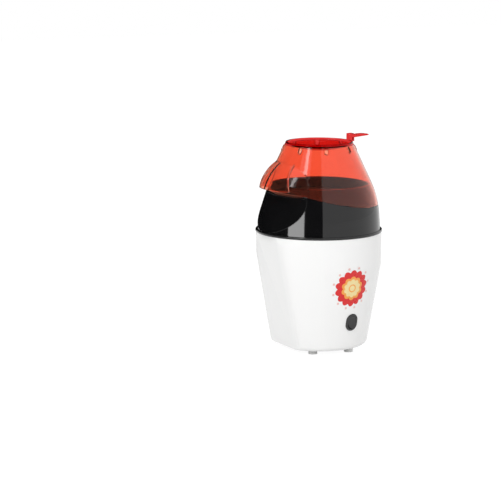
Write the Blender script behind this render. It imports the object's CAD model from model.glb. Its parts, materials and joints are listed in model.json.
"""Hot-air popcorn maker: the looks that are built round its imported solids.

Every sub-assembly is a class that holds its sizes in metres, builds its meshes and dresses them.
The row frame has +Z up, the spout towards -X and the switch towards -Y.
"""

import json
import logging
import math
from collections.abc import Callable, Sequence
from dataclasses import dataclass, field
from enum import Enum

import bmesh
import bpy
from mathutils import Matrix, Vector

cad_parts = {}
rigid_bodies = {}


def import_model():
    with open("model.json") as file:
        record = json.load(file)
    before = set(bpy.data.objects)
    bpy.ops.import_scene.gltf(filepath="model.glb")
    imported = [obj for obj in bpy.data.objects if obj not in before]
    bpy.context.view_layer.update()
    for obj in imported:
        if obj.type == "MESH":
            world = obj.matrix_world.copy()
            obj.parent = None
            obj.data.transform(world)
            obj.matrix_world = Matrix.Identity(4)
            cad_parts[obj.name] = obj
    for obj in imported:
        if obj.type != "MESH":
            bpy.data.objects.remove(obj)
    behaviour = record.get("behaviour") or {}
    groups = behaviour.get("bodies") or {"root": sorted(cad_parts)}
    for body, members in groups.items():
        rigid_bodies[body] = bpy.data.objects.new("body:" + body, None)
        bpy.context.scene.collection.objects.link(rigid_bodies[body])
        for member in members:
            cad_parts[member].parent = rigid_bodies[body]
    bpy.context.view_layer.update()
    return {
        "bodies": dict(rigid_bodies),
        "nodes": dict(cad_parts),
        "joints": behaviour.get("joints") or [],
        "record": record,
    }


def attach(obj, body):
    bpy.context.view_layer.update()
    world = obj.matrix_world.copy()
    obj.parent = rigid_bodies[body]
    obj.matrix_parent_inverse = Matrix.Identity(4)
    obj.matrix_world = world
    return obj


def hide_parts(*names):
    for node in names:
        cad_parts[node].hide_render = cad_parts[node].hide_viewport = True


LOG = logging.getLogger("popcorn_maker")
MM = 0.001
UP = Vector((0.0, 0.0, 1.0))
BALL_SIDES = 160
BOX_STEPS = 4
OVAL_STEPS = 20
OUTLINE_STEPS = 40
SOFT_STEPS = 3
SOFT_ANGLE = 40.0
MERGE = 1e-6
MERGE_FINE = 1e-7
THROUGH = 0.4
SWITCH_ANGLE = 279.0
SWITCH_Z = 46.5 * MM
Colour = tuple[float, float, float]


# ---------------------------------------------------------------- meshes


class Cut(Enum):
    """How a solid is combined with another one."""

    TAKE = "DIFFERENCE"
    JOIN = "UNION"
    KEEP = "INTERSECT"


def turned(degrees: float, axis: str) -> Matrix:
    """A turn about one axis of the frame, in degrees."""
    return Matrix.Rotation(math.radians(degrees), 4, axis)


def shifted(x: float, y: float, z: float) -> Matrix:
    """A shift in metres."""
    return Matrix.Translation((x, y, z))


def placed(name: str, bm: bmesh.types.BMesh, merge: float = MERGE) -> bpy.types.Object:
    """Turns a bmesh into an object at the origin, with outward normals.

    Args:
        name: Name of the new object.
        bm: The mesh, which is freed.
        merge: Distance under which points become one.

    Returns:
        The linked object.
    """
    bmesh.ops.remove_doubles(bm, verts=bm.verts, dist=merge)
    bmesh.ops.recalc_face_normals(bm, faces=bm.faces)
    mesh = bpy.data.meshes.new(name)
    bm.to_mesh(mesh)
    bm.free()
    obj = bpy.data.objects.new(name, mesh)
    bpy.context.scene.collection.objects.link(obj)
    return obj


def spun(name: str, profile: Sequence[tuple[float, float]], steps: int = 192,
         closed: bool = False) -> bpy.types.Object:
    """Spins a profile of (radius, height) points about the vertical axis.

    Args:
        name: Name of the new object.
        profile: Points of the profile, in metres.
        steps: Number of sides.
        closed: Whether the last point joins the first one.

    Returns:
        The spun object.
    """
    bm = bmesh.new()
    verts = [bm.verts.new((r, 0.0, z)) for r, z in profile]
    pairs = list(zip(verts, verts[1:])) + ([(verts[-1], verts[0])] if closed else [])
    edges = [bm.edges.new(pair) for pair in pairs]
    bmesh.ops.spin(bm, geom=verts + edges, cent=(0, 0, 0), axis=UP, dvec=(0, 0, 0),
                   angle=math.tau, steps=steps, use_merge=True, use_normal_flip=False,
                   use_duplicate=False)
    return placed(name, bm)


def drum(name: str, radius: float, length: float, place: Matrix, sides: int = 96) -> bpy.types.Object:
    """A closed cylinder, centred on its place and lying along the place's Z.

    Args:
        name: Name of the new object.
        radius: Radius.
        length: Length along its axis.
        place: Where its middle and axis go.
        sides: Number of sides.

    Returns:
        The cylinder.
    """
    bm = bmesh.new()
    bmesh.ops.create_cone(bm, cap_ends=True, segments=sides, radius1=radius, radius2=radius,
                          depth=length, matrix=place)
    return placed(name, bm)


def ball(name: str, radius: float, centre: Vector) -> bpy.types.Object:
    """A closed ball.

    Args:
        name: Name of the new object.
        radius: Radius.
        centre: Its middle.

    Returns:
        The ball.
    """
    bm = bmesh.new()
    bmesh.ops.create_uvsphere(bm, u_segments=BALL_SIDES, v_segments=BALL_SIDES // 2, radius=radius,
                              matrix=Matrix.Translation(centre))
    return placed(name, bm)


def brick(name: str, size: Sequence[float], place: Matrix, rounding: float = 0.0) -> bpy.types.Object:
    """A box of a given size, centred on its place, with rounded edges.

    Args:
        name: Name of the new object.
        size: Lengths along the place's X, Y and Z.
        place: Where the middle of the box goes.
        rounding: Radius of the edges' rounding, 0 for none.

    Returns:
        The box.
    """
    bm = bmesh.new()
    bmesh.ops.create_cube(bm, size=1.0, matrix=Matrix.Diagonal((*size, 1.0)))
    if rounding:
        bmesh.ops.bevel(bm, geom=bm.edges[:], offset=rounding, offset_type="OFFSET",
                        segments=BOX_STEPS, profile=0.5, affect="EDGES", material=-1)
    bmesh.ops.transform(bm, matrix=place, verts=bm.verts)
    return placed(name, bm)


def raised(bm: bmesh.types.BMesh, outline: Sequence[tuple[float, float]],
           height: float) -> list[bmesh.types.BMVert]:
    """Draws an outline in the XY plane out along +Z.

    Args:
        bm: The mesh that takes the shape.
        outline: Corners in order.
        height: Length of the shape.

    Returns:
        The corners at the top.
    """
    face = bm.faces.new([bm.verts.new((x, y, 0.0)) for x, y in outline])
    grown = bmesh.ops.extrude_face_region(bm, geom=[face])
    tops = [g for g in grown["geom"] if isinstance(g, bmesh.types.BMVert)]
    bmesh.ops.translate(bm, verts=tops, vec=(0.0, 0.0, height))
    return tops


def prism(name: str, outline: Sequence[tuple[float, float]], height: float,
          place: Matrix) -> bpy.types.Object:
    """An outline in the place's XY plane, drawn out along its +Z.

    Args:
        name: Name of the new object.
        outline: Corners in order.
        height: Length of the prism.
        place: Where the outline's plane lies.

    Returns:
        The prism.
    """
    bm = bmesh.new()
    raised(bm, outline, height)
    bmesh.ops.transform(bm, matrix=place, verts=bm.verts)
    return placed(name, bm)


def tube(name: str, path: Sequence[Vector], radius: float, sides: int) -> bpy.types.Object:
    """A round bead that follows a path, with round ends.

    Args:
        name: Name of the new object.
        path: Points along its middle.
        radius: Radius of the bead.
        sides: Steps in a quarter of its section.

    Returns:
        The bead as a mesh.
    """
    curve = bpy.data.curves.new(name, "CURVE")
    curve.dimensions = "3D"
    curve.bevel_depth = radius
    curve.bevel_resolution = sides
    curve.use_fill_caps = True
    spline = curve.splines.new("POLY")
    spline.points.add(len(path) - 1)
    for point, spot in zip(spline.points, path):
        point.co = (*spot, 1.0)
    holder = bpy.data.objects.new(name + "_path", curve)
    bpy.context.scene.collection.objects.link(holder)
    bpy.context.view_layer.update()
    mesh = bpy.data.meshes.new_from_object(holder.evaluated_get(bpy.context.evaluated_depsgraph_get()))
    bpy.data.objects.remove(holder)
    bpy.data.curves.remove(curve)
    bm = bmesh.new()
    bm.from_mesh(mesh)
    bpy.data.meshes.remove(mesh)
    return placed(name, bm)


def combine(target: bpy.types.Object, tool: bpy.types.Object, how: Cut) -> bpy.types.Object:
    """Combines a solid with a tool, which is used up.

    Args:
        target: The solid that changes.
        tool: The other solid.
        how: What happens to the target.

    Returns:
        The target.
    """
    modifier = target.modifiers.new("combine", "BOOLEAN")
    modifier.operation = how.value
    modifier.solver = "EXACT"
    modifier.object = tool
    bpy.context.view_layer.update()
    mesh = bpy.data.meshes.new_from_object(target.evaluated_get(bpy.context.evaluated_depsgraph_get()))
    target.modifiers.clear()
    before = target.data
    target.data = mesh
    bpy.data.meshes.remove(before)
    bpy.data.objects.remove(tool)
    return target


def joined(name: str, parts: Sequence[bpy.types.Object]) -> bpy.types.Object:
    """Makes one object of several that don't touch, or that only show from outside.

    Args:
        name: Name of the new object.
        parts: The objects, which are used up.

    Returns:
        The one object.
    """
    bm = bmesh.new()
    for part in parts:
        bm.from_mesh(part.data)
        bpy.data.objects.remove(part)
    return placed(name, bm, merge=MERGE_FINE)


def polished(obj: bpy.types.Object, angle: float = 32.0) -> bpy.types.Object:
    """Smooth shading with creases only where faces meet at more than an angle in degrees.

    Args:
        obj: The object.
        angle: Smallest angle of a crease, in degrees.

    Returns:
        The object.
    """
    obj.data.shade_smooth()
    obj.data.set_sharp_from_angle(angle=math.radians(angle))
    return obj


def softened(obj: bpy.types.Object, width: float) -> bpy.types.Object:
    """Rounds an object's creases with a bevel modifier.

    Args:
        obj: The object.
        width: Radius of the rounding.

    Returns:
        The object.
    """
    bevel = obj.modifiers.new("softened", "BEVEL")
    bevel.width = width
    bevel.segments = SOFT_STEPS
    bevel.limit_method = "ANGLE"
    bevel.angle_limit = math.radians(SOFT_ANGLE)
    bevel.use_clamp_overlap = True
    bevel.harden_normals = True
    return obj


# ---------------------------------------------------------------- forms


@dataclass(frozen=True)
class BellForm:
    """Outline that the collar and the lid share, with heights counted from the lip."""

    lip_z: float = 162.5 * MM
    foot_r: float = 84.1 * MM
    draft: float = math.radians(3.7)
    cone: float = math.radians(25.2)
    corner_h: float = 47.2 * MM
    rounding: float = 130.0 * MM
    top_h: float = 119.0 * MM

    def radius(self, height: float, inset: float = 0.0) -> float:
        """Radius of the outline.

        Args:
            height: Height above the lip.
            inset: Distance inside the outer face.

        Returns:
            The radius in metres.
        """
        low = Vector((math.cos(self.draft), math.sin(self.draft)))
        high = Vector((math.cos(self.cone), math.sin(self.cone)))
        corner = Vector((self.foot_r - self.corner_h * math.tan(self.draft), self.corner_h))
        middle = corner - self.rounding * (low + high) / (1.0 + low.dot(high))
        reach = self.rounding - inset
        start, end = middle + reach * low, middle + reach * high
        if height < start.y:
            return start.x + (start.y - height) * math.tan(self.draft)
        if height > end.y:
            return end.x - (height - end.y) * math.tan(self.cone)
        return middle.x + math.sqrt(reach ** 2 - (height - middle.y) ** 2)

    def points(self, inset: float, low: float, high: float) -> list[tuple[float, float]]:
        """Points of the outline from a low to a high height above the lip."""
        heights = [low + (high - low) * i / OUTLINE_STEPS for i in range(OUTLINE_STEPS + 1)]
        return [(self.radius(h, inset), self.lip_z + h) for h in heights]

    def solid(self, name: str, inset: float, low: float, high: float,
              steps: int = 192) -> bpy.types.Object:
        """The solid inside the outline between two heights."""
        wall = self.points(inset, low, high)
        return spun(name, [(0.0, wall[0][1]), *wall, (0.0, wall[-1][1])], steps)


@dataclass(frozen=True)
class ShellForm:
    """Outline of the housing: a rounded foot, a taper and an upright top."""

    foot_z: float = 6.5 * MM
    foot_r: float = 66.4 * MM
    foot_round: float = 8.0 * MM
    top_r: float = 85.7 * MM
    taper_z: float = 118.0 * MM
    taper_round: float = 60.0 * MM
    lip_z: float = 162.5 * MM
    front_x: float = 51.0 * MM
    front_slant: float = 10.5
    front_half: float = 36.0 * MM
    front_round: float = 18.0 * MM
    front_turn: float = 48.0
    front_steps: int = 12
    round_steps: int = 14

    @property
    def taper(self) -> float:
        """Angle of the taper from the vertical, in radians."""
        return math.atan((self.top_r - self.foot_r) / (self.taper_z - self.foot_z))

    def radius(self, z: float) -> float:
        """Radius of the tapered wall at a height."""
        return self.foot_r + (z - self.foot_z) * math.tan(self.taper)

    def points(self, inset: float, top: float) -> list[tuple[float, float]]:
        """Points of the outline from the axis at the bottom to the top edge.

        Args:
            inset: Distance inside the outer face.
            top: Height of the top edge.

        Returns:
            The outline as (radius, height).
        """
        slope = Vector((math.cos(self.taper), -math.sin(self.taper)))
        down, out = Vector((0.0, -1.0)), Vector((1.0, 0.0))
        foot = (Vector((self.foot_r, self.foot_z))
                - self.foot_round * (slope + down) / (1.0 + slope.dot(down)))
        knee = (Vector((self.top_r, self.taper_z))
                - self.taper_round * (slope + out) / (1.0 + slope.dot(out)))
        found = [(0.0, self.foot_z + inset)]
        for centre, reach, start, end in (
                (foot, self.foot_round - inset, -math.pi / 2, -self.taper),
                (knee, self.taper_round - inset, -self.taper, 0.0)):
            angles = [start + (end - start) * i / self.round_steps for i in range(self.round_steps + 1)]
            found += [(centre.x + reach * math.cos(a), centre.y + reach * math.sin(a)) for a in angles]
        return [*found, (found[-1][0], top), (0.0, top)]

    def wedge(self, name: str, inset: float) -> bpy.types.Object:
        """The leaning prism whose flat side is the front under the spout.

        Args:
            name: Name of the new object.
            inset: Distance inside the outer face.

        Returns:
            The prism.
        """
        reach = self.front_round - inset
        side = math.radians(self.front_turn - 90.0)
        arc = [math.radians(180.0 - self.front_turn + self.front_turn * i / self.front_steps)
               for i in range(self.front_steps + 1)]
        upper = [(self.front_round + reach * math.cos(a), self.front_half + reach * math.sin(a))
                 for a in arc]
        lower = [(x, -y) for x, y in reversed(upper)]
        first = (upper[0][0] + THROUGH * math.cos(side), upper[0][1] - THROUGH * math.sin(side))
        outline = [first, *upper, *lower, (first[0], -first[1])]
        place = (shifted(-self.front_x, 0.0, 0.0) @ turned(-self.front_slant, "Y")
                 @ shifted(0.0, 0.0, -0.2))
        return prism(name, outline, 0.5, place)

    def solid(self, name: str, inset: float, top: float) -> bpy.types.Object:
        """The solid inside the outline, cut by the flat front."""
        body = spun(name, self.points(inset, top))
        return combine(body, self.wedge(name + "_front", inset), Cut.KEEP)

    def on_wall(self, angle: float, z: float) -> Matrix:
        """Place on the wall: +Z out of it, +X down it.

        Args:
            angle: Direction from the axis, in degrees.
            z: Height.

        Returns:
            The place.
        """
        return (turned(angle, "Z") @ shifted(self.radius(z), 0.0, z)
                @ turned(90.0 + math.degrees(self.taper), "Y"))


BELL = BellForm()
SHELL = ShellForm()


# ---------------------------------------------------------------- finishes


def node_of(tree: bpy.types.NodeTree, kind: str) -> bpy.types.Node:
    """The tree's own node of one kind."""
    return next(n for n in tree.nodes if n.type == kind)


class Graph:
    """A node tree with short calls for adding and joining nodes."""

    def __init__(self, tree: bpy.types.NodeTree) -> None:
        """Keeps the tree that the calls work on."""
        self.tree = tree

    def add(self, kind: str, inputs: dict[str, object] | None = None, **settings: object) -> bpy.types.Node:
        """Adds a node.

        Args:
            kind: Node type without its ShaderNode prefix.
            inputs: Values or sockets for its inputs, by name.
            **settings: Other properties of the node.

        Returns:
            The node.
        """
        node = self.tree.nodes.new(kind if kind.startswith("NodeGroup") else "ShaderNode" + kind)
        for key, value in settings.items():
            setattr(node, key, value)
        for key, value in (inputs or {}).items():
            self.feed(node.inputs[key], value)
        return node

    def feed(self, socket: bpy.types.NodeSocket, value: object) -> None:
        """Joins a socket to another one, or sets its value.

        Args:
            socket: The input.
            value: A socket to join, or a plain value.
        """
        if isinstance(value, bpy.types.NodeSocket):
            self.tree.links.new(value, socket)
        else:
            socket.default_value = value

    def maths(self, how: str, *values: object) -> bpy.types.NodeSocket:
        """A Math node's result.

        Args:
            how: The operation.
            *values: Sockets or numbers for its inputs, in order.

        Returns:
            The result.
        """
        node = self.add("Math", operation=how)
        for socket, value in zip(node.inputs, values):
            self.feed(socket, value)
        return node.outputs[0]

    def blended(self, share: object, low: object, high: object) -> bpy.types.NodeSocket:
        """The colour between two others at a share from 0 to 1.

        Args:
            share: Share of the second colour.
            low: Colour at 0.
            high: Colour at 1.

        Returns:
            The blended colour.
        """
        node = self.add("Mix", data_type="RGBA")
        for index, value in ((0, share), (6, low), (7, high)):
            self.feed(node.inputs[index], value)
        return node.outputs[2]

    def group(self, tree: bpy.types.NodeTree, inputs: dict[str, object]) -> bpy.types.Node:
        """Places a shader node group.

        Args:
            tree: The group.
            inputs: Values or sockets for its inputs, by name.

        Returns:
            The placed node.
        """
        node = self.tree.nodes.new("ShaderNodeGroup")
        node.node_tree = tree
        for key, value in inputs.items():
            self.feed(node.inputs[key], value)
        return node


def effect(name: str, inputs: Sequence[tuple[str, str, float]], outputs: Sequence[tuple[str, str]],
           fill: Callable[[Graph, bpy.types.Node, bpy.types.Node], None]) -> bpy.types.NodeTree:
    """Makes a shader node group once, and finds it again after that.

    Args:
        name: Name of the group.
        inputs: Name, socket type and start value of each input.
        outputs: Name and socket type of each output.
        fill: Adds the nodes between the group's input and output nodes.

    Returns:
        The group.
    """
    known = bpy.data.node_groups.get(name)
    if known:
        return known
    tree = bpy.data.node_groups.new(name, "ShaderNodeTree")
    for label, kind, start in inputs:
        socket = tree.interface.new_socket(label, in_out="INPUT", socket_type=kind)
        if kind == "NodeSocketFloat":
            socket.default_value = start
    for label, kind in outputs:
        tree.interface.new_socket(label, in_out="OUTPUT", socket_type=kind)
    graph = Graph(tree)
    fill(graph, graph.add("NodeGroupInput"), graph.add("NodeGroupOutput"))
    return tree


FINE_RATIO = 7.0
BROAD_SHARE, FINE_SHARE = 0.7, 0.3
NOISE_LOW, NOISE_HIGH = 0.35, 0.65
WAVE_RATIO = 0.02
DUST_PATCHES = 160.0


def mottle() -> bpy.types.NodeTree:
    """Soft blotches between two values, as moulded or handled surfaces have.

    Returns:
        The node group.
    """

    def fill(g: Graph, start: bpy.types.Node, end: bpy.types.Node) -> None:
        """Two sizes of noise, mapped to the wanted range.

        Args:
            g: The group's graph.
            start: Its input node.
            end: Its output node.
        """
        broad = g.add("TexNoise", {"Vector": start.outputs["Vector"], "Scale": start.outputs["Scale"],
                                   "Detail": 3.0})
        fine_scale = g.maths("MULTIPLY", start.outputs["Scale"], FINE_RATIO)
        fine = g.add("TexNoise", {"Vector": start.outputs["Vector"], "Scale": fine_scale, "Detail": 2.0})
        both = g.maths("ADD", g.maths("MULTIPLY", broad.outputs["Fac"], BROAD_SHARE),
                       g.maths("MULTIPLY", fine.outputs["Fac"], FINE_SHARE))
        ranged = g.add("MapRange", {"Value": both, "From Min": NOISE_LOW, "From Max": NOISE_HIGH,
                                    "To Min": start.outputs["Low"], "To Max": start.outputs["High"]})
        g.feed(end.inputs["Value"], ranged.outputs["Result"])

    return effect("mottle", [("Vector", "NodeSocketVector", 0.0), ("Scale", "NodeSocketFloat", 20.0),
                             ("Low", "NodeSocketFloat", 0.0), ("High", "NodeSocketFloat", 1.0)],
                  [("Value", "NodeSocketFloat")], fill)


def grain() -> bpy.types.NodeTree:
    """Fine surface relief: moulded grain, with an option of long brushed lines.

    Returns:
        The node group.
    """

    def fill(g: Graph, start: bpy.types.Node, end: bpy.types.Node) -> None:
        """A fine noise whose height is scaled, on a long wave of the wall.

        Args:
            g: The group's graph.
            start: Its input node.
            end: Its output node.
        """
        fine = g.add("TexNoise", {"Vector": start.outputs["Vector"], "Scale": start.outputs["Scale"],
                                  "Detail": 2.0, "Roughness": 0.6})
        slow_scale = g.maths("MULTIPLY", start.outputs["Scale"], WAVE_RATIO)
        slow = g.add("TexNoise", {"Vector": start.outputs["Vector"], "Scale": slow_scale, "Detail": 1.0})
        wave = g.maths("MULTIPLY", slow.outputs["Fac"], start.outputs["Wave"])
        g.feed(end.inputs["Height"], g.maths("ADD", fine.outputs["Fac"], wave))

    return effect("grain", [("Vector", "NodeSocketVector", 0.0), ("Scale", "NodeSocketFloat", 900.0),
                            ("Wave", "NodeSocketFloat", 0.0)],
                  [("Height", "NodeSocketFloat")], fill)


def dust() -> bpy.types.NodeTree:
    """A thin veil on faces that look up, for the colour and the gloss.

    Returns:
        The node group.
    """

    def fill(g: Graph, start: bpy.types.Node, end: bpy.types.Node) -> None:
        """Upward faces times a patchy noise.

        Args:
            g: The group's graph.
            start: Its input node.
            end: Its output node.
        """
        facing = g.add("NewGeometry")
        split = g.add("SeparateXYZ", {"Vector": facing.outputs["Normal"]})
        up = g.add("MapRange", {"Value": split.outputs["Z"], "From Min": 0.5, "From Max": 1.0})
        patchy = g.add("TexNoise", {"Vector": start.outputs["Vector"], "Scale": DUST_PATCHES,
                                    "Detail": 4.0})
        veil = g.maths("MULTIPLY", up.outputs["Result"], patchy.outputs["Fac"])
        g.feed(end.inputs["Mask"], g.maths("MULTIPLY", veil, start.outputs["Amount"]))

    return effect("dust", [("Vector", "NodeSocketVector", 0.0), ("Amount", "NodeSocketFloat", 0.2)],
                  [("Mask", "NodeSocketFloat")], fill)


DUST_COLOUR = (0.62, 0.6, 0.57, 1.0)
DUST_DULLS = 0.3
GLOSS_SPREAD = 1.7


def blank(name: str) -> tuple[bpy.types.Material, Graph, bpy.types.Node]:
    """A new material, its graph and its shader.

    Args:
        name: Name of the material.

    Returns:
        The material, its graph and its shader.
    """
    made = bpy.data.materials.new(name)
    made.use_nodes = True
    return made, Graph(made.node_tree), node_of(made.node_tree, "BSDF_PRINCIPLED")


class Relief(Enum):
    """Direction in which a finish's fine relief is drawn out, as scales along X, Y and Z."""

    EVEN = (1.0, 1.0, 1.0)
    TURNED = (1.0, 1.0, 0.04)
    DRAWN = (0.05, 0.05, 1.0)


@dataclass(frozen=True)
class SolidFinish:
    """An opaque finish: plastic, metal, rubber or ceramic."""

    name: str
    colour: Colour
    second: Colour
    roughness: tuple[float, float]
    relief: Relief = Relief.EVEN
    grain_scale: float = 1400.0
    grain_depth: float = 0.00001
    blotch: float = 30.0
    wave: float = 0.0
    metallic: float = 0.0
    specular: float = 0.5
    coat: float = 0.0
    dusty: float = 0.1

    def material(self) -> bpy.types.Material:
        """The material of this finish, made once.

        Returns:
            The material.
        """
        known = bpy.data.materials.get(self.name)
        if known:
            return known
        made, g, shader = blank(self.name)
        where = g.add("TexCoord").outputs["Object"]
        tone = g.group(mottle(), {"Vector": where, "Scale": self.blotch, "Low": 0.0, "High": 1.0})
        veil = g.group(dust(), {"Vector": where, "Amount": self.dusty})
        base = g.blended(tone.outputs["Value"], (*self.colour, 1.0), (*self.second, 1.0))
        g.feed(shader.inputs["Base Color"], g.blended(veil.outputs["Mask"], base, DUST_COLOUR))
        gloss = g.group(mottle(), {"Vector": where, "Scale": self.blotch * GLOSS_SPREAD,
                                   "Low": self.roughness[0], "High": self.roughness[1]})
        dull = g.maths("ADD", gloss.outputs["Value"],
                       g.maths("MULTIPLY", veil.outputs["Mask"], DUST_DULLS))
        g.feed(shader.inputs["Roughness"], dull)
        stretched = g.add("Mapping", {"Vector": where, "Scale": self.relief.value})
        lines = g.group(grain(), {"Vector": stretched.outputs["Vector"], "Scale": self.grain_scale,
                                  "Wave": self.wave})
        bump = g.add("Bump", {"Strength": 1.0, "Distance": self.grain_depth,
                              "Height": lines.outputs["Height"]})
        g.feed(shader.inputs["Normal"], bump.outputs["Normal"])
        shader.inputs["Metallic"].default_value = self.metallic
        shader.inputs["Specular IOR Level"].default_value = self.specular
        shader.inputs["Coat Weight"].default_value = self.coat
        return made


@dataclass(frozen=True)
class ClearFinish:
    """A clear tinted plastic."""

    name: str
    colour: Colour
    second: Colour
    roughness: tuple[float, float] = (0.02, 0.06)
    ior: float = 1.45
    blotch: float = 12.0
    haze: float = 45.0
    grain_scale: float = 500.0
    grain_depth: float = 0.000004
    wave: float = 6.0

    def material(self) -> bpy.types.Material:
        """The material of this finish, made once.

        Returns:
            The material.
        """
        known = bpy.data.materials.get(self.name)
        if known:
            return known
        made, g, shader = blank(self.name)
        where = g.add("TexCoord").outputs["Object"]
        tone = g.group(mottle(), {"Vector": where, "Scale": self.blotch, "Low": 0.0, "High": 1.0})
        base = g.blended(tone.outputs["Value"], (*self.colour, 1.0), (*self.second, 1.0))
        g.feed(shader.inputs["Base Color"], base)
        haze = g.group(mottle(), {"Vector": where, "Scale": self.haze, "Low": self.roughness[0],
                                  "High": self.roughness[1]})
        g.feed(shader.inputs["Roughness"], haze.outputs["Value"])
        lines = g.group(grain(), {"Vector": where, "Scale": self.grain_scale, "Wave": self.wave})
        bump = g.add("Bump", {"Strength": 1.0, "Distance": self.grain_depth,
                              "Height": lines.outputs["Height"]})
        g.feed(shader.inputs["Normal"], bump.outputs["Normal"])
        shader.inputs["Transmission Weight"].default_value = 1.0
        shader.inputs["IOR"].default_value = self.ior
        return made


Finish = SolidFinish | ClearFinish

WHITE_SHELL = SolidFinish("white_shell", (0.9, 0.9, 0.895), (0.896, 0.896, 0.891), (0.262, 0.27),
                          grain_depth=0.0000004, blotch=9.0, wave=1.0, dusty=0.01)
GLOSS_BLACK = SolidFinish("gloss_black", (0.0045, 0.0045, 0.005), (0.0055, 0.0055, 0.006), (0.035, 0.07),
                          grain_depth=0.0000015, wave=2.0, dusty=0.03)
MATT_BLACK = SolidFinish("matt_black", (0.012, 0.012, 0.012), (0.018, 0.018, 0.018), (0.45, 0.6),
                         grain_depth=0.00002, dusty=0.15)
SWITCH_BLACK = SolidFinish("switch_black", (0.012, 0.012, 0.013), (0.018, 0.018, 0.019), (0.2, 0.34),
                           grain_depth=0.000012, dusty=0.05)
DARK_PLASTIC = SolidFinish("dark_plastic", (0.02, 0.02, 0.022), (0.03, 0.03, 0.032), (0.4, 0.55))
GREY_PLASTIC = SolidFinish("grey_plastic", (0.26, 0.26, 0.26), (0.3, 0.3, 0.3), (0.4, 0.55))
IVORY_PLASTIC = SolidFinish("ivory_plastic", (0.6, 0.54, 0.4), (0.66, 0.6, 0.46), (0.35, 0.5))
FOOT_RUBBER = SolidFinish("foot_rubber", (0.76, 0.76, 0.75), (0.8, 0.8, 0.79), (0.45, 0.6))
LEAD_RUBBER = SolidFinish("lead_rubber", (0.3, 0.02, 0.015), (0.36, 0.03, 0.02), (0.5, 0.65))
ZINC_STEEL = SolidFinish("zinc_steel", (0.55, 0.56, 0.58), (0.66, 0.66, 0.66), (0.22, 0.36),
                         relief=Relief.TURNED, metallic=1.0)
DRAWN_ALUMINIUM = SolidFinish("drawn_aluminium", (0.8, 0.8, 0.81), (0.7, 0.7, 0.71), (0.22, 0.38),
                              relief=Relief.TURNED, grain_scale=700.0, metallic=1.0)
GALVANISED = SolidFinish("galvanised", (0.5, 0.52, 0.54), (0.64, 0.65, 0.66), (0.3, 0.5),
                         blotch=90.0, metallic=1.0)
LAMINATED = SolidFinish("laminated_steel", (0.18, 0.18, 0.2), (0.28, 0.28, 0.3), (0.35, 0.5),
                        relief=Relief.DRAWN, grain_depth=0.00004, metallic=1.0)
COPPER = SolidFinish("lacquered_copper", (0.62, 0.22, 0.09), (0.72, 0.3, 0.13), (0.2, 0.35),
                     grain_scale=2500.0, grain_depth=0.00003, metallic=1.0)
BRONZE = SolidFinish("sintered_bronze", (0.45, 0.27, 0.1), (0.55, 0.34, 0.14), (0.4, 0.55),
                     grain_depth=0.00003, metallic=1.0)
BRASS = SolidFinish("brass", (0.7, 0.48, 0.16), (0.78, 0.56, 0.22), (0.2, 0.34), metallic=1.0)
FERRITE = SolidFinish("ferrite", (0.03, 0.03, 0.034), (0.05, 0.05, 0.055), (0.5, 0.65))
CARBON = SolidFinish("carbon", (0.01, 0.01, 0.01), (0.02, 0.02, 0.02), (0.45, 0.7))
HOT_WIRE = SolidFinish("heater_wire", (0.16, 0.12, 0.1), (0.24, 0.2, 0.18), (0.4, 0.6),
                       grain_scale=2600.0, grain_depth=0.0001, metallic=0.8)
MICA = SolidFinish("mica_board", (0.5, 0.42, 0.26), (0.62, 0.55, 0.38), (0.3, 0.5), blotch=160.0)
CERAMIC = SolidFinish("ceramic", (0.6, 0.5, 0.34), (0.68, 0.58, 0.42), (0.5, 0.65))
BOARD = SolidFinish("board", (0.01, 0.07, 0.025), (0.015, 0.1, 0.035), (0.3, 0.45), blotch=260.0)
EPOXY = SolidFinish("epoxy", (0.014, 0.014, 0.015), (0.02, 0.02, 0.021), (0.3, 0.45))
CLEAR_RED = ClearFinish("clear_red", (0.965, 0.28, 0.175), (0.975, 0.3, 0.195))
DEEP_RED = ClearFinish("deep_red", (0.66, 0.03, 0.03), (0.69, 0.035, 0.035), (0.05, 0.1), 1.16)
BADGE_RED = SolidFinish("badge_red", (0.66, 0.012, 0.012), (0.72, 0.016, 0.016), (0.25, 0.35),
                        dusty=0.0)
BADGE_ORANGE = SolidFinish("badge_orange", (0.85, 0.32, 0.05), (0.9, 0.4, 0.08), (0.25, 0.35), dusty=0.0)
BADGE_YELLOW = SolidFinish("badge_yellow", (0.86, 0.68, 0.3), (0.9, 0.74, 0.38), (0.25, 0.35), dusty=0.0)
BADGE_BLUSH = SolidFinish("badge_blush", (0.8, 0.5, 0.46), (0.84, 0.56, 0.52), (0.25, 0.35), dusty=0.0)

KEPT_NODES: dict[str, Finish] = {
    "base_plate": GREY_PLASTIC, "feet": FOOT_RUBBER, "base_screws": ZINC_STEEL,
    "leg_screws": ZINC_STEEL, "flange_screws": ZINC_STEEL, "motor_screws": ZINC_STEEL,
    "block_screw": ZINC_STEEL, "air_duct": GALVANISED, "mica_cross": MICA,
    "heater_coil": HOT_WIRE, "thermostat": CERAMIC, "thermal_fuse": CERAMIC,
    "fuse_clip": ZINC_STEEL, "fan_case": DARK_PLASTIC, "fan_impeller": DRAWN_ALUMINIUM,
    "motor_case": ZINC_STEEL, "motor_end_cap": DARK_PLASTIC, "motor_magnets": FERRITE,
    "motor_bearings": BRONZE, "motor_shaft": ZINC_STEEL, "armature": LAMINATED,
    "windings": COPPER, "commutator": COPPER, "brushes": CARBON, "motor_terminals": BRASS,
    "rectifier_board": BOARD, "diodes": EPOXY, "switch_terminals": BRASS,
    "cord_grommet": MATT_BLACK, "terminal_block": IVORY_PLASTIC, "inner_leads": LEAD_RUBBER,
    "popping_chamber": DRAWN_ALUMINIUM,
}


def dress(obj: bpy.types.Object, finish: Finish) -> None:
    """Gives an object one finish in place of any it has."""
    obj.data.materials.clear()
    obj.data.materials.append(finish.material())


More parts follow.
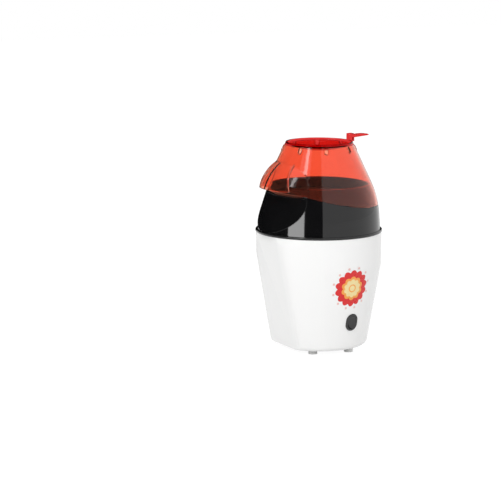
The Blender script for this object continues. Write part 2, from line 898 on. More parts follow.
def fit_out(obj: bpy.types.Object, finish: Finish, body: str,
            nodes: Sequence[str] = ()) -> bpy.types.Object:
    """Dresses a finished piece and ties it to the frame.

    Args:
        obj: The piece.
        finish: Its finish.
        body: The body that it rides on.
        nodes: The CAD nodes that it stands for.

    Returns:
        The piece.
    """
    dress(obj, finish)
    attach(obj, body)
    if nodes:
        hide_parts(*nodes)
    LOG.info("%s: %d faces, on %s", obj.name, len(obj.data.polygons), body)
    return obj


# ---------------------------------------------------------------- the maker's parts


@dataclass
class Housing:
    """White body shell with its screw bosses and the seats for switch and cord inlet."""

    wall: float = 2.2 * MM
    opening_r: float = 57.5 * MM
    opening_front: float = 5.2 * MM
    plate_top: float = 9.5 * MM
    seat: tuple[float, float] = (18.9 * MM, 24.4 * MM)
    seat_depth: float = 1.02 * MM
    cut: float = 30 * MM
    crease: float = 28.0
    hole: tuple[float, float] = (15.9 * MM, 21.4 * MM)
    inlet_z: float = 22.0 * MM
    inlet_r: float = 5.62 * MM
    boss_r: float = 4.5 * MM
    boss_reach: float = 52.5 * MM
    boss_top: float = 23.5 * MM
    boss_angles: tuple[float, ...] = (30.0, -30.0, 100.0, -100.0)

    def opening(self) -> bpy.types.Object:
        """The tool that opens the bottom for the base plate.

        Returns:
            The tool.
        """
        tool = spun("opening", [(0.0, 0.0), (self.opening_r, 0.0), (self.opening_r, self.plate_top),
                                (0.0, self.plate_top)])
        return combine(tool, SHELL.wedge("opening_front", self.opening_front), Cut.KEEP)

    def bosses(self) -> list[bpy.types.Object]:
        """The four screw bosses behind the wall.

        Returns:
            The bosses.
        """
        found = []
        for i, angle in enumerate(self.boss_angles):
            height = self.boss_top - self.plate_top
            place = turned(angle, "Z") @ shifted(self.boss_reach, 0.0, self.plate_top + height / 2)
            found.append(drum(f"boss_{i}", self.boss_r, height, place, 32))
        return found

    def build(self) -> None:
        """Builds and dresses the shell."""
        shell = SHELL.solid("housing_shell", 0.0, SHELL.lip_z)
        combine(shell, SHELL.solid("housing_hollow", self.wall, SHELL.lip_z + 2 * MM), Cut.TAKE)
        combine(shell, self.opening(), Cut.TAKE)
        at_switch = SHELL.on_wall(SWITCH_ANGLE, SWITCH_Z)
        combine(shell, prism("bezel_seat", oval(*self.seat), self.cut,
                             at_switch @ shifted(0, 0, -self.seat_depth)), Cut.TAKE)
        combine(shell, prism("barrel_hole", oval(*self.hole), self.cut,
                             at_switch @ shifted(0, 0, -self.cut / 2)), Cut.TAKE)
        combine(shell, drum("inlet_hole", self.inlet_r, self.cut, SHELL.on_wall(0.0, self.inlet_z)),
                Cut.TAKE)
        for boss in self.bosses():
            combine(shell, boss, Cut.JOIN)
        polished(shell, self.crease)
        fit_out(shell, WHITE_SHELL, "base", ["housing"])


def half_round(x: float, radius: float, start: float, steps: int) -> list[tuple[float, float]]:
    """Points of half a circle whose middle is on the X axis.

    Args:
        x: Where the middle is.
        radius: Radius of the circle.
        start: Direction of the first point, in degrees.
        steps: Number of steps.

    Returns:
        The points, counter-clockwise.
    """
    turns = [math.radians(start + 180.0 * i / steps) for i in range(steps + 1)]
    return [(x + radius * math.cos(a), radius * math.sin(a)) for a in turns]


def oval(across: float, along: float) -> list[tuple[float, float]]:
    """Outline with straight sides and round ends, its length on X.

    Args:
        across: Width.
        along: Length.

    Returns:
        The outline's corners.
    """
    reach, radius = (along - across) / 2, across / 2
    return (half_round(reach, radius, -90.0, OVAL_STEPS)
            + half_round(-reach, radius, 90.0, OVAL_STEPS))


@dataclass
class Badge:
    """A plain round badge of red, orange and yellow, printed on the wall above the switch."""

    angle: float = 274.9
    z: float = 95.0 * MM
    radius: float = 24.0 * MM
    lobes: int = 14
    petals: int = 10
    dots: int = 12
    dot_r: float = 1.7 * MM
    dot_reach: float = 28.6 * MM
    ring_r: float = 15.5 * MM
    middle_r: float = 12.0 * MM
    eye: tuple[float, float] = (4.0 * MM, 5.6 * MM)
    layer: float = 0.03 * MM
    rings: int = 14
    crease: float = 60.0

    def printed(self, name: str, bm: bmesh.types.BMesh, lift: float, finish: Finish) -> None:
        """Lays a flat shape on the wall and dresses it.

        Args:
            name: Name of the piece.
            bm: The flat shape in the XY plane, its Y pointing up the wall.
            lift: Distance off the wall.
            finish: Colour of the print.
        """
        for vert in bm.verts:
            z = self.z + vert.co.y * math.cos(SHELL.taper)
            turn = math.radians(self.angle) + vert.co.x / SHELL.radius(self.z)
            reach = SHELL.radius(z) + lift
            vert.co = Vector((reach * math.cos(turn), reach * math.sin(turn), z))
        fit_out(polished(placed(name, bm), self.crease), finish, "base")

    def rosette(self, name: str, inner: float, outer: float, depth: float, lobes: int, lift: float,
                finish: Finish) -> None:
        """One colour of the print: a ring or disc with a scalloped edge.

        Args:
            name: Name of the piece.
            inner: Inner radius, 0 for a disc.
            outer: Mean outer radius.
            depth: How far the scallops swing in and out.
            lobes: Number of scallops.
            lift: Distance off the wall.
            finish: Colour of the print.
        """
        bm = bmesh.new()
        verts = [bm.verts.new((inner + (outer - inner) * i / self.rings, 0.0, 0.0))
                 for i in range(self.rings + 1)]
        edges = [bm.edges.new(pair) for pair in zip(verts, verts[1:])]
        bmesh.ops.spin(bm, geom=verts + edges, cent=(0, 0, 0), axis=UP, dvec=(0, 0, 0), angle=math.tau,
                       steps=lobes * 12, use_merge=True, use_normal_flip=False, use_duplicate=False)
        bmesh.ops.remove_doubles(bm, verts=bm.verts, dist=MERGE)
        for vert in bm.verts:
            share = max(0.0, (vert.co.xy.length - inner) / (outer - inner))
            swing = 2.0 * abs(math.sin(lobes * math.atan2(vert.co.y, vert.co.x) / 2)) - 1.0
            vert.co *= 1.0 + depth * share ** 3 * swing / outer
        self.printed(name, bm, lift, finish)

    def ring_of_dots(self, lift: float) -> None:
        """Small dots all round the badge.

        Args:
            lift: Distance off the wall.
        """
        bm = bmesh.new()
        for i in range(self.dots):
            place = turned(360.0 * (i + 0.5) / self.dots, "Z") @ shifted(self.dot_reach, 0.0, 0.0)
            bmesh.ops.create_circle(bm, cap_ends=True, cap_tris=True, segments=24, radius=self.dot_r,
                                    matrix=place)
        self.printed("badge_dots", bm, lift, BADGE_BLUSH)

    def build(self) -> None:
        """Builds the badge's colours from the wall outwards."""
        step = self.layer
        self.ring_of_dots(2 * step)
        self.rosette("badge_edge", 0.0, self.radius, 1.8 * MM, self.lobes, step, BADGE_RED)
        self.rosette("badge_ring", 0.0, self.ring_r, 1.3 * MM, self.petals, 2 * step, BADGE_ORANGE)
        self.rosette("badge_middle", 0.0, self.middle_r, 1.0 * MM, self.petals, 3 * step, BADGE_YELLOW)
        self.rosette("badge_eye", *self.eye, 0.0, self.petals, 4 * step, BADGE_ORANGE)


@dataclass
class Collar:
    """Glossy black collar with its lip, slide, sill and mouth."""

    sides: int = 256
    seam_sides: int = 1600
    slide_sides: int = 720
    crease: float = 12.0
    lip_r: float = 86.6 * MM
    lip_t: float = 3.6 * MM
    lip_round: float = 1.1 * MM
    wall: float = 2.2 * MM
    ledge: float = 2.5 * MM
    rim_h: float = 65.5 * MM
    spigot_h: float = 8.0 * MM
    spigot_t: float = 2.0 * MM
    fit: float = 0.3 * MM
    slide_x: float = 85.2 * MM
    slide_slope: float = 20.0
    slide_r: float = 120.0 * MM
    sill_h: float = 57.0 * MM
    sill_r: float = 4.0 * MM
    mouth_half: float = 57.0 * MM
    mouth_back: float = 44.0 * MM
    mouth_tool: float = 0.1
    seam_x: float = 80.0 * MM
    seam_low: float = 36.5 * MM
    seam_r: float = 455.0 * MM
    arch_low: float = 4.6 * MM
    arch_short: float = 12.6 * MM
    arch_sunk: float = 0.6 * MM
    arch_steps: int = 60
    arch_tries: int = 40
    arch_ease: float = 1.6
    arch_fade: int = 10
    bead_r: float = 0.45 * MM

    def over_seam(self, name: str, gap: float) -> bpy.types.Object:
        """The tool that fills everything over the sweep of the seam."""
        place = shifted(self.seam_x, 0.0, BELL.lip_z + self.seam_low + self.seam_r) @ turned(90.0, "X")
        return drum(name, self.seam_r - gap, THROUGH, place, self.seam_sides)

    def behind_slide(self, name: str, inset: float) -> bpy.types.Object:
        """The tool that fills everything behind the slide's face.

        Args:
            name: Name of the tool.
            inset: Distance inside the face.

        Returns:
            The tool.
        """
        place = (shifted(-self.slide_x, 0.0, BELL.lip_z) @ turned(self.slide_slope, "Y")
                 @ shifted(self.slide_r, 0.0, 0.0))
        return drum(name, self.slide_r - inset, THROUGH, place, self.slide_sides)

    def lip(self) -> bpy.types.Object:
        """The lip with its rounded edge.

        Returns:
            The solid.
        """
        z, r, t, rounding = BELL.lip_z, self.lip_r, self.lip_t, self.lip_round
        edge = [(r - rounding + rounding * math.cos(a), z + up + rounding * math.sin(a))
                for up, first in ((rounding, -90.0), (t - rounding, 0.0))
                for a in (math.radians(first + 90.0 * i / 9) for i in range(10))]
        inner = BELL.radius(0.0) - self.ledge - self.wall
        return spun("collar_lip", [(inner, z), *edge, (inner, z + t)], self.sides, closed=True)

    def spigot(self) -> bpy.types.Object:
        """The ring that reaches down into the housing.

        Returns:
            The solid.
        """
        gap = Housing.wall + self.fit
        ring = SHELL.solid("spigot", gap, BELL.lip_z + 0.5 * MM)
        combine(ring, SHELL.solid("spigot_hollow", gap + self.spigot_t, BELL.lip_z + 2 * MM), Cut.TAKE)
        low = BELL.lip_z - self.spigot_h
        return combine(ring, drum("spigot_foot", 0.2, low, shifted(0.0, 0.0, low / 2)), Cut.TAKE)

    def build(self) -> None:
        """Builds the collar's wall, lip, sill and arch bead."""
        wall = BELL.solid("collar_shell", 0.0, 0.0, self.rim_h - 1 * MM, self.sides)
        combine(wall, self.over_seam("seam", 0.0), Cut.TAKE)
        combine(wall, BELL.solid("inner", self.ledge, 0.0, self.rim_h, self.sides), Cut.JOIN)
        combine(wall, self.behind_slide("slide", 0.0), Cut.KEEP)
        hollow = BELL.solid("hollow", self.ledge + self.wall, -1 * MM, self.rim_h + 1 * MM, self.sides)
        combine(hollow, self.behind_slide("slide_back", self.wall), Cut.KEEP)
        combine(wall, hollow, Cut.TAKE)
        tool = self.mouth_tool
        mouth = (-self.mouth_back - tool / 2, 0.0, BELL.lip_z + self.sill_h - self.sill_r + tool / 2)
        combine(wall, brick("mouth", (tool, 2 * self.mouth_half, tool), shifted(*mouth)), Cut.TAKE)
        combine(wall, self.sill(), Cut.JOIN)
        combine(wall, self.lip(), Cut.JOIN)
        combine(wall, self.spigot(), Cut.JOIN)
        polished(wall, self.crease)
        fit_out(wall, GLOSS_BLACK, "base", ["collar"])
        bead = tube("arch_bead", self.arch(), self.bead_r, 4)
        polished(bead)
        fit_out(bead, GLOSS_BLACK, "base")

    def sill(self) -> bpy.types.Object:
        """The rounded bead along the top of the slide.

        Returns:
            The solid.
        """
        slope = math.radians(self.slide_slope)
        height = self.sill_h - self.sill_r
        face = self.slide_x - height * math.tan(slope)
        inward = (self.sill_r - 0.3 * MM) / math.cos(slope)
        turn_r = self.slide_r * math.cos(slope) - inward
        middle = turn_r + inward - face
        span = math.asin((self.mouth_half + 0.8 * MM) / turn_r)
        spots = [Vector((middle - turn_r * math.cos(a), turn_r * math.sin(a), BELL.lip_z + height))
                 for a in (-span + 2 * span * i / 48 for i in range(49))]
        bead = tube("sill", spots, self.sill_r, 8)
        return combine(bead, BELL.solid("sill_ends", self.ledge, 0.0, self.rim_h, self.sides), Cut.KEEP)

    def arch(self) -> list[Vector]:
        """Points along the edge where the slide meets the outer wall.

        Returns:
            The points, from one upper end down to the foot and up to the other upper end.
        """
        found = []
        slope = math.radians(self.slide_slope)
        low, high = self.arch_low, self.rim_h - self.arch_short
        for side in (1.0, -1.0):
            half = []
            for i in range(self.arch_steps + 1):
                share = i / self.arch_steps
                height = low + (high - low) * share ** self.arch_ease
                radius = BELL.radius(height) - self.arch_sunk * share ** self.arch_fade

                def off(y: float) -> float:
                    """How far the wall at that y lies in front of the slide's face.

                    Args:
                        y: Distance from the middle plane.

                    Returns:
                        The distance, below 0 behind the face.
                    """
                    x = -math.sqrt(max(radius ** 2 - y ** 2, 0.0))
                    along = (x + self.slide_x) * math.cos(slope) - height * math.sin(slope)
                    return self.slide_r - math.sqrt(self.slide_r ** 2 - y ** 2) - along

                near, far = 0.0, 60 * MM
                for _ in range(self.arch_tries):
                    y = (near + far) / 2
                    near, far = (y, far) if off(y) > 0.0 else (near, y)
                half.append(Vector((-math.sqrt(radius ** 2 - near ** 2), side * near,
                                    BELL.lip_z + height)))
            found = [*reversed(half), *found] if side < 0 else half
        return found


@dataclass
class Funnel:
    """Matt black funnel from the chamber's rim up to the sill."""

    low_z: float = 173.0 * MM
    top_z: float = 211.2 * MM
    low_r: float = 42.5 * MM
    top_r: float = 56.0 * MM
    flange_r: float = 54.0 * MM
    wall: float = 2.0 * MM
    edge_gap: float = 0.3 * MM
    top_out: float = 90.0 * MM
    rim_round: float = 1.2 * MM
    crease: float = 30.0

    def build(self, collar: Collar) -> None:
        """Builds the funnel inside the collar.

        Args:
            collar: The collar that it fits.
        """
        low, top, t = self.low_z, self.top_z, self.wall
        profile = [(self.low_r, low), (self.flange_r, low), (self.flange_r, low + t),
                   (self.low_r + t, low + t), (self.top_r + t, top - t), (self.top_out, top - t),
                   (self.top_out, top), (self.top_r + self.rim_round, top),
                   (self.top_r + 0.3 * MM, top - 0.3 * MM), (self.top_r, top - self.rim_round)]
        funnel = spun("funnel_ring", profile, closed=True)
        combine(funnel, BELL.solid("funnel_edge", collar.ledge + collar.wall + self.edge_gap, 0.0, 65 * MM),
                Cut.KEEP)
        combine(funnel, collar.behind_slide("funnel_front", collar.wall + self.edge_gap), Cut.KEEP)
        polished(funnel, self.crease)
        fit_out(funnel, MATT_BLACK, "base", ["funnel"])


@dataclass
class Lid:
    """Clear red lid with a domed hood, three ribs and eight vents."""

    wall: float = 2.0 * MM
    hood_r: float = 64.4 * MM
    hood_x: float = 22.0 * MM
    hood_z: float = 44.0 * MM
    hood_rim: float = 62.0 * MM
    seam_gap: float = 0.3 * MM
    rib_low: float = 40.5 * MM
    rib_lean: float = 25.0
    rib_r: float = 1.4 * MM
    rib_top: float = 97.0 * MM
    vents: int = 8
    vent_first: float = 29.5
    vent_w: float = 4.6 * MM
    vent_reach: float = 9.0 * MM
    frame_out: float = 0.5 * MM
    frame_r: float = 0.75 * MM
    frame_start: float = 1.5 * MM
    frame_steps: int = 16
    slot_depth: float = 12 * MM
    low: float = 30 * MM
    rib_steps: int = 40
    rib_end: float = 100.0
    crease: float = 30.0

    def hood_centre(self) -> Vector:
        """Middle of the hood's dome."""
        return Vector((-self.hood_x, 0.0, BELL.lip_z + self.hood_z))

    def rib(self, side: float) -> bpy.types.Object:
        """One rib: a bead along an upright or leaning slice of the hood.

        Args:
            side: 0 for the middle rib, 1 and -1 for the outer ones.

        Returns:
            The bead.
        """
        lean = math.radians(side * self.rib_lean)
        normal = Vector((0.0, math.cos(lean), math.sin(lean)))
        foot = Vector((0.0, side * self.rib_low, BELL.lip_z + self.hood_rim))
        away = (foot - self.hood_centre()).dot(normal)
        middle = self.hood_centre() + away * normal
        reach = math.sqrt(self.hood_r ** 2 - away ** 2)
        up = Vector((0.0, -math.sin(lean), math.cos(lean)))
        start = math.asin((BELL.lip_z + self.hood_rim + 0.5 * MM - middle.z) / (reach * up.z))
        spots = []
        for i in range(self.rib_steps + 1):
            turn = start + (math.radians(self.rib_end) - start) * i / self.rib_steps
            spot = middle + reach * (-math.cos(turn) * Vector((1.0, 0.0, 0.0)) + math.sin(turn) * up)
            if spot.z < BELL.lip_z + self.rib_top:
                spots.append(spot)
        return tube("rib", spots, self.rib_r, 6)

    def at_vents(self) -> list[Matrix]:
        """Places of the vents on the cone: +Z out of it, +X down it.

        Returns:
            One place for each vent.
        """
        step = (360.0 - 2 * self.vent_first) / (self.vents - 1)
        out = turned(90.0 - math.degrees(BELL.cone), "Y")
        top = shifted(BELL.radius(BELL.top_h), 0.0, BELL.lip_z + BELL.top_h)
        return [turned(180.0 + self.vent_first + i * step, "Z") @ top @ out for i in range(self.vents)]

    def vent_frames(self) -> bpy.types.Object:
        """The raised U-shaped frames of all the vents.

        Returns:
            The frames as one object.
        """
        reach, radius = self.vent_reach - self.vent_w / 2, self.vent_w / 2 + self.frame_out
        arc = half_round(reach, radius, -90.0, self.frame_steps)
        path = [(self.frame_start, -radius), *arc, (self.frame_start, radius)]
        return joined("vent_frames", [tube("frame", [place @ Vector((x, y, 0.0)) for x, y in path],
                                           self.frame_r, 4) for place in self.at_vents()])

    def build(self, collar: Collar) -> None:
        """Builds the lid.

        Args:
            collar: The collar that it sits on.
        """
        lid = BELL.solid("lid_shell", 0.0, self.low, BELL.top_h)
        combine(lid, ball("hood_outer", self.hood_r, self.hood_centre()), Cut.JOIN)
        for side in (1.0, 0.0, -1.0):
            combine(lid, self.rib(side), Cut.JOIN)
        combine(lid, self.vent_frames(), Cut.JOIN)
        combine(lid, BELL.solid("lid_hollow", self.wall, 0.0, BELL.top_h + 1 * MM), Cut.TAKE)
        combine(lid, ball("hood_inner", self.hood_r - self.wall, self.hood_centre()), Cut.TAKE)
        below = drum("below", 0.25, THROUGH, shifted(0.0, 0.0, BELL.lip_z + self.hood_rim - THROUGH / 2))
        combine(below, collar.over_seam("lid_seam", self.seam_gap), Cut.TAKE)
        combine(lid, below, Cut.TAKE)
        slots = joined("slots", [prism("slot", oval(self.vent_w, 2 * self.vent_reach), self.slot_depth,
                                       place @ shifted(0.0, 0.0, -self.slot_depth / 2))
                                 for place in self.at_vents()])
        combine(lid, slots, Cut.TAKE)
        polished(lid, self.crease)
        fit_out(lid, CLEAR_RED, "lid_body", ["lid"])


@dataclass
class MeasuringCup:
    """Clear red measuring cup with a thumb block and tab."""

    top_z: float = 281.5 * MM
    rim_r: float = 46.6 * MM
    rim_h: float = 4.0 * MM
    depth: float = 8.5 * MM
    wall: float = 1.6 * MM
    dish_r: float = 44.9 * MM
    round_steps: int = 24
    crease: float = 35.0
    block_round: float = 1.1 * MM
    block: tuple[float, float, float] = (8.5 * MM, 9.0 * MM, 11.0 * MM)
    block_x: float = 44.5 * MM
    block_z: float = 283.0 * MM
    tab_reach: float = 77.0 * MM
    tab_w: float = 9.0 * MM
    tab_z: float = 287.7 * MM
    tab_rise: float = 5.0
    tab_top: float = 292.8 * MM
    tab_crest: float = 65.0 * MM
    tab_bow: float = 60.0 * MM

    def bowl(self) -> bpy.types.Object:
        """The cup's rim and dish as one turned solid.

        Returns:
            The solid.
        """
        top, rim = self.top_z, self.top_z + self.rim_h
        ball_r = (self.dish_r ** 2 + self.depth ** 2) / (2 * self.depth)
        middle = top - self.depth + ball_r
        inner_r = self.dish_r - self.wall
        steps = self.round_steps
        low = [(self.dish_r * i / steps, middle - math.sqrt(ball_r ** 2 - (self.dish_r * i / steps) ** 2))
               for i in range(steps + 1)]
        inside = ball_r - self.wall
        high = [(inner_r * i / steps, middle - math.sqrt(inside ** 2 - (inner_r * i / steps) ** 2))
                for i in range(steps, -1, -1)]
        lip = [(self.rim_r, top), (self.rim_r + 0.1 * MM, top + 0.5 * MM),
               (self.rim_r - 0.9 * MM, rim - 0.5 * MM), (self.rim_r - 1.2 * MM, rim - 0.1 * MM),
               (self.rim_r - 1.6 * MM, rim), (inner_r + 0.5 * MM, rim),
               (inner_r + 0.15 * MM, rim - 0.2 * MM), (inner_r, rim - 0.6 * MM)]
        return spun("cup_bowl", [*low, *lip, *high], 192)

    def tab(self) -> bpy.types.Object:
        """The thumb tab: a wedge with a round end, bowed on top and rising underneath.

        Returns:
            The solid.
        """
        end, half = self.tab_reach - self.tab_w / 2, self.tab_w / 2
        arc = half_round(end, half, -90.0, self.round_steps)
        start = self.block_x + 2 * MM
        tab = prism("cup_tab", [(start, -half), *arc, (start, half)], 11 * MM,
                    shifted(0.0, 0.0, self.block_z))
        crest = shifted(self.tab_crest, 0.0, self.tab_top - self.tab_bow) @ turned(90.0, "X")
        combine(tab, drum("tab_bow", self.tab_bow, 2 * self.tab_w, crest, 720), Cut.KEEP)
        under = (shifted(self.block_x, 0.0, self.tab_z) @ turned(-self.tab_rise, "Y")
                 @ shifted(0.0, 0.0, -0.02))
        return combine(tab, brick("tab_under", (0.2, 0.04, 0.04), under), Cut.TAKE)

    def build(self) -> None:
        """Builds the cup."""
        cup = self.bowl()
        along, across, high = self.block
        place = shifted(self.block_x + along / 2, 0.0, self.block_z + high / 2)
        combine(cup, brick("thumb_block", self.block, place, self.block_round), Cut.JOIN)
        combine(cup, self.tab(), Cut.JOIN)
        polished(cup, self.crease)
        fit_out(cup, DEEP_RED, "cup_body", ["measuring_cup"])


@dataclass
class Switch:
    """Oval rocker switch low on the housing's side."""

    bezel: tuple[float, float] = (18.5 * MM, 24.0 * MM)
    barrel: tuple[float, float] = (15.5 * MM, 21.0 * MM)
    well: tuple[float, float] = (13.0 * MM, 18.5 * MM)
    rocker: tuple[float, float] = (12.4 * MM, 17.0 * MM)
    bezel_in: float = 1.0 * MM
    bezel_out: float = 1.2 * MM
    well_depth: float = 7.0 * MM
    barrel_depth: float = 13.0 * MM
    pivot_z: float = -2.0 * MM
    tilt: float = 8.0
    hollow_r: float = 28.0 * MM
    rim_round: float = 0.9 * MM
    paddle_h: float = 7 * MM
    paddle_in: float = 4 * MM
    paddle_round: float = 0.4 * MM
    pin_r: float = 1.2 * MM
    crease: float = 34.0

    def place(self) -> Matrix:
        """Place of the switch on the wall."""
        return SHELL.on_wall(SWITCH_ANGLE, SWITCH_Z)

    def frame(self) -> bpy.types.Object:
        """Bezel and barrel as one solid with a rounded bezel edge.

        Returns:
            The solid.
        """
        at = self.place()
        bm = bmesh.new()
        tops = raised(bm, oval(*self.bezel), self.bezel_in + self.bezel_out)
        rim = [e for e in bm.edges if all(v in tops for v in e.verts)]
        bmesh.ops.bevel(bm, geom=rim, offset=self.rim_round, offset_type="OFFSET", segments=5,
                        profile=0.5, affect="EDGES", material=-1)
        bmesh.ops.transform(bm, matrix=at @ shifted(0.0, 0.0, -self.bezel_in), verts=bm.verts)
        bezel = placed("switch_frame", bm)
        combine(bezel, prism("barrel", oval(*self.barrel), self.barrel_depth - self.bezel_out,
                             at @ shifted(0.0, 0.0, self.bezel_out - self.barrel_depth)), Cut.JOIN)
        combine(bezel, prism("well", oval(*self.well), self.well_depth + 1 * MM,
                             at @ shifted(0.0, 0.0, self.bezel_out - self.well_depth)), Cut.TAKE)
        return bezel

    def paddle(self) -> bpy.types.Object:
        """The rocker with its hollow face and its pivot pins.

        Returns:
            The solid.
        """
        at = (self.place() @ shifted(0.0, 0.0, self.pivot_z) @ turned(-self.tilt, "Y")
              @ shifted(0.0, 0.0, -self.pivot_z))
        body = prism("switch_paddle", oval(*self.rocker), self.paddle_h,
                     at @ shifted(0.0, 0.0, -self.paddle_in))
        combine(body, drum("rocker_hollow", self.hollow_r, 0.06,
                           at @ shifted(0.0, 0.0, self.bezel_out + self.hollow_r) @ turned(90.0, "X"), 360),
                Cut.TAKE)
        combine(body, drum("pivot", self.pin_r, self.barrel[0] - 0.1 * MM,
                           at @ shifted(0.0, 0.0, self.pivot_z) @ turned(90.0, "X"), 32), Cut.JOIN)
        return body

    def build(self) -> None:
        """Builds the switch's frame and rocker."""
        frame = self.frame()
        polished(frame, self.crease)
        fit_out(frame, SWITCH_BLACK, "base", ["switch_body"])
        paddle = softened(polished(self.paddle(), self.crease), self.paddle_round)
        fit_out(paddle, SWITCH_BLACK, "rocker_body", ["switch_rocker"])


@dataclass
class Works:
    """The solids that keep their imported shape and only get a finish."""

    finishes: dict[str, Finish] = field(default_factory=lambda: dict(KEPT_NODES))

    def build(self, nodes: dict[str, bpy.types.Object]) -> None:
        """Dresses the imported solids.

        Args:
            nodes: The frame's nodes by name.
        """
        for name, finish in self.finishes.items():
            dress(nodes[name], finish)
            LOG.info("%s: packed solid in %s", name, finish.name)


# ---------------------------------------------------------------- the studio


@dataclass(frozen=True)
class Panel:
    """A flat panel round the object: a lamp, or a dark flag where it has no power.

    The bearing is in degrees right of the camera's side, and away is the distance from the axis.
    """

    name: str
    bearing: float
    height: float
    away: float
    size: tuple[float, float]
    power: float = 0.0
    mirrored: bool = False


LAMPS = (
    Panel("key", -12.0, 1.5, 2.2, (1.8, 1.8), 24.0),
    Panel("panel", -42.8, 0.08, 2.4, (1.38, 1.35), 37.0, mirrored=True),
    Panel("high_panel", -39.0, 2.8, 2.4, (0.48, 1.6), 16.0, mirrored=True),
)
FLAGS = (
    Panel("front_flag", -9.0, 1.6, 2.2, (1.3, 5.0)),
    Panel("left_flag", -111.0, 1.0, 1.5, (4.1, 4.0)),
    Panel("mid_flag", -42.5, 1.35, 2.5, (1.5, 1.2)),
    Panel("back_flag", -176.0, 0.4, 0.8, (0.6, 1.2)),
)


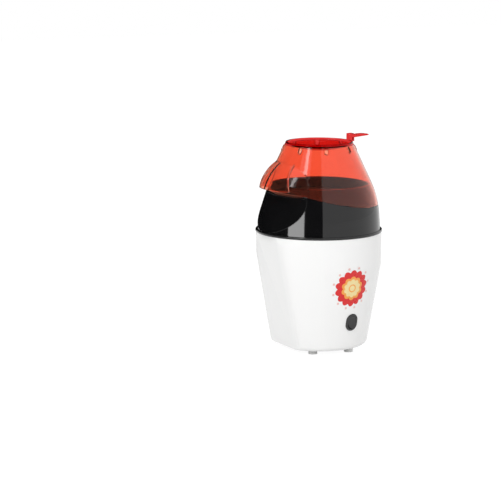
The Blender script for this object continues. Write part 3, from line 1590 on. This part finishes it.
@dataclass
class Studio:
    """Pale floor, soft lamps, white surroundings and the camera."""

    azimuth: float = -29.0
    distance: float = 2.75
    camera_z: float = 0.608
    sensor: float = 36.0
    focal: float = 2033.0
    frame_side: float = 501.0
    aim: tuple[float, float] = (-0.0934, -0.0284)
    ambient: float = 0.77
    floor_half: float = 6.0
    floor_tone: tuple[float, float] = (0.83, 0.85)
    floor_glow: float = 1.16
    glow_share: float = 0.82
    lamp_aim_z: float = 0.17

    def camera(self) -> None:
        """Sets up the camera at the viewing angle."""
        turn = math.radians(self.azimuth)
        data = bpy.data.cameras.new("camera")
        data.sensor_width = self.sensor
        data.lens = self.focal * self.sensor / self.frame_side
        data.clip_end = 50.0
        camera = bpy.data.objects.new("camera", data)
        bpy.context.scene.collection.objects.link(camera)
        camera.location = (self.distance * math.sin(turn), -self.distance * math.cos(turn), self.camera_z)
        right = Vector((math.cos(turn), math.sin(turn), 0.0))
        target = Vector((0.0, 0.0, BELL.lip_z + self.aim[1])) + self.aim[0] * right
        camera.rotation_euler = (target - camera.location).to_track_quat("-Z", "Y").to_euler()
        bpy.context.scene.camera = camera

    def seen(self, g: Graph) -> bpy.types.NodeSocket:
        """1 for camera, mirror and see-through rays, 0 for the light on surfaces.

        Args:
            g: The graph that takes the nodes.

        Returns:
            A socket that is 1 or 0.
        """
        path = g.add("LightPath")
        both = g.maths("MAXIMUM", path.outputs["Is Camera Ray"], path.outputs["Is Glossy Ray"])
        return g.maths("MAXIMUM", both, path.outputs["Is Transmission Ray"])

    def surroundings(self) -> None:
        """White to look at, dimmer as a light."""
        world = bpy.data.worlds.new("surroundings")
        bpy.context.scene.world = world
        world.use_nodes = True
        g = Graph(world.node_tree)
        back = node_of(world.node_tree, "BACKGROUND")
        back.inputs["Color"].default_value = (1.0, 1.0, 1.0, 1.0)
        span = g.maths("MULTIPLY", self.seen(g), 1.0 - self.ambient)
        g.feed(back.inputs["Strength"], g.maths("ADD", span, self.ambient))

    def floor(self) -> None:
        """A pale floor that keeps the shadow."""
        bm = bmesh.new()
        bmesh.ops.create_grid(bm, x_segments=8, y_segments=8, size=self.floor_half)
        floor = placed("floor", bm)
        made, g, shader = blank("floor_paper")
        shader.inputs["Roughness"].default_value = 0.9
        shader.inputs["Specular IOR Level"].default_value = 0.1
        tone = g.group(mottle(), {"Vector": g.add("TexCoord").outputs["Object"], "Scale": 3.0,
                                  "Low": self.floor_tone[0], "High": self.floor_tone[1]})
        g.feed(shader.inputs["Base Color"], g.add("CombineColor", {
            "Red": tone.outputs["Value"], "Green": tone.outputs["Value"],
            "Blue": tone.outputs["Value"]}).outputs["Color"])
        glow = g.add("Emission", {"Color": (1.0, 1.0, 1.0, 1.0), "Strength": self.floor_glow})
        share = g.maths("MULTIPLY", self.seen(g), self.glow_share)
        mixed = g.add("MixShader")
        g.feed(mixed.inputs[0], share)
        g.feed(mixed.inputs[1], shader.outputs["BSDF"])
        g.feed(mixed.inputs[2], glow.outputs["Emission"])
        output = node_of(made.node_tree, "OUTPUT_MATERIAL")
        g.feed(output.inputs["Surface"], mixed.outputs["Shader"])
        floor.data.materials.append(made)

    def lamp(self, panel: Panel) -> None:
        """One soft rectangular lamp, which glossy walls mirror or which lights the dull ones.

        Args:
            panel: Its place, size and power.
        """
        data = bpy.data.lights.new(panel.name, "AREA")
        data.shape = "RECTANGLE"
        data.size, data.size_y = panel.size
        data.energy = panel.power
        lamp = bpy.data.objects.new(panel.name, data)
        bpy.context.scene.collection.objects.link(lamp)
        turn = math.radians(self.azimuth + panel.bearing)
        lamp.location = (panel.away * math.sin(turn), -panel.away * math.cos(turn), panel.height)
        aim = Vector((0.0, 0.0, self.lamp_aim_z)) - lamp.location
        lamp.rotation_euler = aim.to_track_quat("-Z", "Y").to_euler()
        lamp.visible_camera = lamp.visible_transmission = False
        lamp.visible_glossy = panel.mirrored
        lamp.visible_diffuse = not panel.mirrored

    def flag_cloth(self) -> bpy.types.Material:
        """The dull black of the dark flags, made once.

        Returns:
            The material.
        """
        known = bpy.data.materials.get("flag_cloth")
        if known:
            return known
        made, _, shader = blank("flag_cloth")
        shader.inputs["Base Color"].default_value = (0.003, 0.003, 0.003, 1.0)
        shader.inputs["Roughness"].default_value = 0.95
        shader.inputs["Specular IOR Level"].default_value = 0.0
        return made

    def flag(self, panel: Panel) -> None:
        """A dark panel that only mirror rays see, for contrast in glossy walls.

        Args:
            panel: Its place and size.
        """
        width, height = panel.size
        place = (turned(self.azimuth + panel.bearing, "Z") @ shifted(0.0, -panel.away, panel.height)
                 @ turned(90.0, "X") @ Matrix.Diagonal((width / 2, height / 2, 1.0, 1.0)))
        bm = bmesh.new()
        bmesh.ops.create_grid(bm, x_segments=2, y_segments=2, size=1.0, matrix=place)
        cloth = placed(panel.name, bm)
        cloth.data.materials.append(self.flag_cloth())
        cloth.visible_camera = cloth.visible_diffuse = False
        cloth.visible_transmission = cloth.visible_shadow = False

    def build(self) -> None:
        """Sets up the whole studio."""
        self.camera()
        self.surroundings()
        self.floor()
        for panel in LAMPS:
            self.lamp(panel)
        for panel in FLAGS:
            self.flag(panel)
        bpy.context.scene.view_settings.view_transform = "Standard"


def clear_scene() -> None:
    """Empties the start-up scene."""
    for obj in list(bpy.data.objects):
        bpy.data.objects.remove(obj)


def main() -> None:
    """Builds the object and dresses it."""
    logging.basicConfig(level=logging.INFO, format="%(message)s")
    clear_scene()
    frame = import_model()
    collar = Collar()
    Housing().build()
    Badge().build()
    collar.build()
    Funnel().build(collar)
    Lid().build(collar)
    MeasuringCup().build()
    Switch().build()
    Works().build(frame["nodes"])
    Studio().build()


if __name__ == "__main__":
    main()
